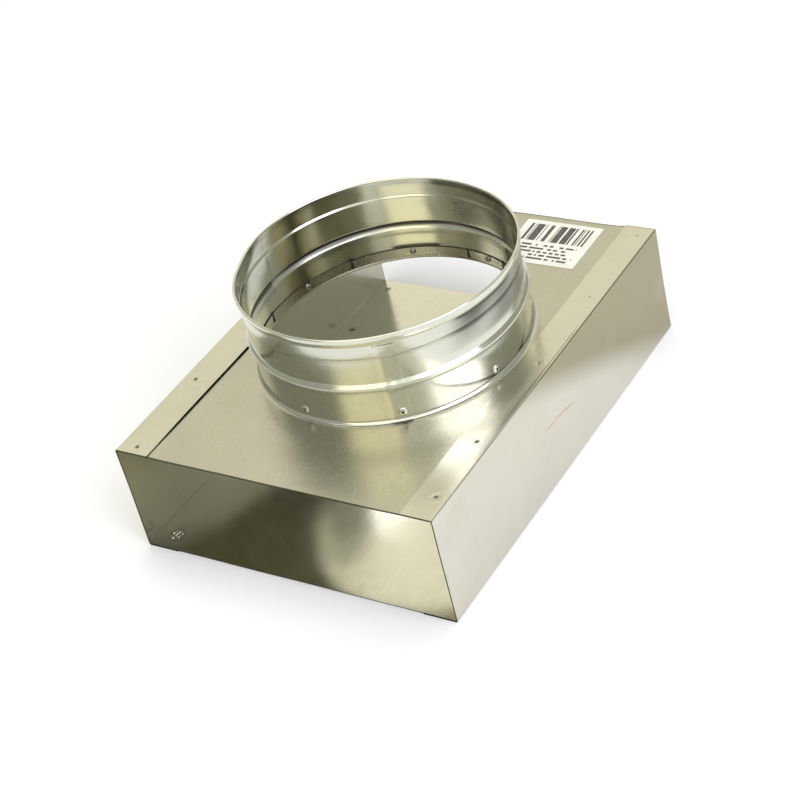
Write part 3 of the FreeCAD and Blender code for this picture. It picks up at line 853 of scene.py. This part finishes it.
def label_paper():
    """White paper with a block of plain bars and rows of plain dashes: no lettering."""
    g = Graph("label_paper")
    sep = g.node("ShaderNodeSeparateXYZ", None, {0: g.coords()})
    x, y = sep.outputs[0], sep.outputs[1]
    u = g.math("DIVIDE", g.math("SUBTRACT", x, LX[0] * MM), (LX[1] - LX[0]) * MM)
    v = g.math("DIVIDE", g.math("SUBTRACT", y, LY[0] * MM), (LY[1] - LY[0]) * MM)

    def inside(value, lo, hi):
        return g.math("MULTIPLY", g.math("GREATER_THAN", value, lo), g.math("LESS_THAN", value, hi))

    def hashed(value, seed):
        return g.node("ShaderNodeTexWhiteNoise", {"noise_dimensions": "1D"}, {"W": g.math("ADD", value, seed)}).outputs["Value"]

    cell = g.math("FLOOR", g.math("MULTIPLY", u, 84.0))
    bars = g.math("LESS_THAN", hashed(cell, 4.5), 0.60)
    bars = g.math("MULTIPLY", bars, g.math("MULTIPLY", inside(u, 0.08, 0.92), inside(v, 0.52, 0.92)))

    row = g.math("FLOOR", g.math("MULTIPLY", v, 13.0))
    in_row = inside(g.math("FRACT", g.math("MULTIPLY", v, 13.0)), 0.28, 0.80)
    dash_cell = g.math("ADD", g.math("FLOOR", g.math("MULTIPLY", u, 38.0)), g.math("MULTIPLY", row, 71.0))
    dash = g.math("LESS_THAN", hashed(dash_cell, 9.5), 0.66)
    left_end = g.math("ADD", 0.08, g.math("MULTIPLY", hashed(row, 31.5), 0.22))
    right_end = g.math("SUBTRACT", 0.95, g.math("MULTIPLY", hashed(row, 57.5), 0.30))
    span = g.math("MULTIPLY", g.math("GREATER_THAN", u, left_end), g.math("LESS_THAN", u, right_end))
    rows = g.math("MULTIPLY", g.math("MULTIPLY", dash, in_row), g.math("MULTIPLY", span, inside(v, 0.07, 0.46)))
    ink = g.math("MAXIMUM", bars, rows)
    wear = g.noise(g.vector((700, 700, 700)), 1.0, 3.0, 0.6)
    ink = g.math("MULTIPLY", ink, g.span(wear, 0.25, 0.55, 0.75, 0.97))

    fibre = g.noise(g.vector((1400, 500, 900)), 1.0, 4.0, 0.65)
    stain = g.noise(g.vector((45, 45, 45)), 1.0, 3.0, 0.5)
    sheet_colour = g.mix(g.span(stain, 0.35, 0.7, 0.0, 1.0), rgb(240, 239, 230), rgb(226, 224, 212))
    sheet_colour = g.mix(g.math("MULTIPLY", fibre, 0.10), sheet_colour, rgb(200, 198, 190))
    colour = g.mix(ink, sheet_colour, rgb(62, 60, 54))
    bumped = g.node("ShaderNodeBump", None, {"Strength": 0.3, "Distance": 0.00005, "Height": fibre}).outputs[0]
    shader = g.node(
        "ShaderNodeBsdfPrincipled",
        None,
        {"Base Color": colour, "Roughness": g.span(fibre, 0.3, 0.7, 0.52, 0.66), "Normal": bumped},
    )
    shader.inputs["Specular IOR Level"].default_value = 0.35
    out = g.node("ShaderNodeOutputMaterial")
    g.t.links.new(shader.outputs[0], out.inputs[0])
    return g.m


def floor_paint():
    g = Graph("studio_floor")
    soft = g.noise(g.vector((3, 3, 3)), 1.0, 3.0, 0.5)
    colour = g.mix(g.span(soft, 0.3, 0.7, 0.0, 1.0), rgb(247, 248, 252), rgb(243, 244, 249))
    fine = g.noise(g.vector((220, 220, 220)), 1.0, 3.0, 0.6)
    bumped = g.node("ShaderNodeBump", None, {"Strength": 0.05, "Distance": 0.0003, "Height": fine}).outputs[0]
    shader = g.node(
        "ShaderNodeBsdfPrincipled", None, {"Base Color": colour, "Roughness": 0.85, "Normal": bumped}
    )
    shader.inputs["Specular IOR Level"].default_value = 0.2
    out = g.node("ShaderNodeOutputMaterial")
    g.t.links.new(shader.outputs[0], out.inputs[0])
    return g.m


def finish_piece(ob, material, slot, *nodes, edge=None):
    ob.data.materials.append(material)
    if edge is not None:
        ob.data.materials.append(edge)
    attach(ob, "root")
    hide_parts(*nodes)


finish_piece(left, side_metal, "galvanised_side", "side_channel_left", edge=cut_metal)
finish_piece(right, side_metal, "galvanised_side", "side_channel_right", edge=cut_metal)
finish_piece(top, plate_metal, "galvanised_plate", "top_plate", edge=cut_metal)
finish_piece(bottom, floor_metal, "galvanised_plate", "bottom_plate", edge=cut_metal)
finish_piece(ring, collar_metal, "galvanised_collar", "collar", edge=cut_metal)
finish_piece(studs, rivet_metal(), "rivet", "collar_rivets")
finish_piece(tag, label_paper(), "label", "label")


# --------------------------------------------------------------------------
# Floor, light, camera
# --------------------------------------------------------------------------
def floor():
    me = bpy.data.meshes.new("studio_floor")
    n = 48
    pts = [(0.0, 0.0, 0.0)] + [
        (6.0 * math.cos(2 * math.pi * k / n), 6.0 * math.sin(2 * math.pi * k / n), 0.0) for k in range(n)
    ]
    me.from_pydata(pts, [], [(0, 1 + k, 1 + (k + 1) % n) for k in range(n)])
    me.update()
    ob = bpy.data.objects.new("studio_floor", me)
    ob.location.z = -0.0002
    me.materials.append(floor_paint())
    bpy.context.scene.collection.objects.link(ob)
    return ob


ground = floor()

world = bpy.data.worlds.new("studio")
bpy.context.scene.world = world
world.use_nodes = True
wt = world.node_tree
wt.nodes.clear()
bg = wt.nodes.new("ShaderNodeBackground")
bg.inputs[0].default_value = (0.97, 1.0, 0.88, 1.0)
bg.inputs[1].default_value = 0.43
wo = wt.nodes.new("ShaderNodeOutputWorld")
wt.links.new(bg.outputs[0], wo.inputs[0])


def panel(name, azimuth, elevation, wide, high, radiance, tint, distance=3.0):
    """A soft box at a compass angle and height angle about the part, sized in degrees."""
    a, e = math.radians(azimuth), math.radians(elevation)
    away = Vector((math.cos(a) * math.cos(e), math.sin(a) * math.cos(e), math.sin(e)))
    data = bpy.data.lights.new(name, "AREA")
    data.shape = "RECTANGLE"
    data.size = 2 * distance * math.tan(math.radians(wide / 2))
    data.size_y = 2 * distance * math.tan(math.radians(high / 2))
    data.energy = radiance * math.pi * data.size * data.size_y
    data.color = tint
    ob = bpy.data.objects.new(name, data)
    ob.location = away * distance + Vector((0, 0, 0.1))
    ob.rotation_mode = "QUATERNION"
    ob.rotation_quaternion = (-away).to_track_quat("-Z", "Y")
    bpy.context.scene.collection.objects.link(ob)
    return ob


panel("overhead", 90, 89, 60, 60, 1.15, (1.0, 1.0, 1.0))
panel("back_cream", 131, 37, 72, 42, 0.63, (1.0, 0.925, 0.71))
panel("front_lamp", -88, 37, 32, 40, 1.48, (1.0, 0.91, 0.68))
panel("right_window", -11, 36, 38, 42, 3.8, (0.86, 0.84, 1.0))
panel("front_fill", -49, 36, 30, 40, 0.65, (1.0, 1.0, 0.98))
panel("back_fill", 82, 36, 26, 40, 0.42, (1.0, 0.98, 0.86))

cam_data = bpy.data.cameras.new("camera")
cam = bpy.data.objects.new("camera", cam_data)
bpy.context.scene.collection.objects.link(cam)
right_v = Vector((0.84269342, 0.49766347, -0.20542364))
up_v = Vector((-0.16308296, 0.59957076, 0.78352974))
back_v = Vector((0.51310013, -0.62677426, 0.58641477))
rot = Matrix((right_v, up_v, back_v)).transposed().to_4x4()
cam.matrix_world = Matrix.Translation(Vector((0.7673912, -0.9472037, 0.9149391))) @ rot
cam_data.sensor_width = 36.0
cam_data.lens = 93.373
cam_data.clip_start, cam_data.clip_end = 0.05, 50.0
bpy.context.scene.camera = cam

bpy.context.scene.view_settings.view_transform = "Standard"
bpy.context.scene.view_settings.look = "None"
bpy.context.scene.view_settings.exposure = 0.0
bpy.context.scene.view_settings.gamma = 1.0

bpy.context.view_layer.update()
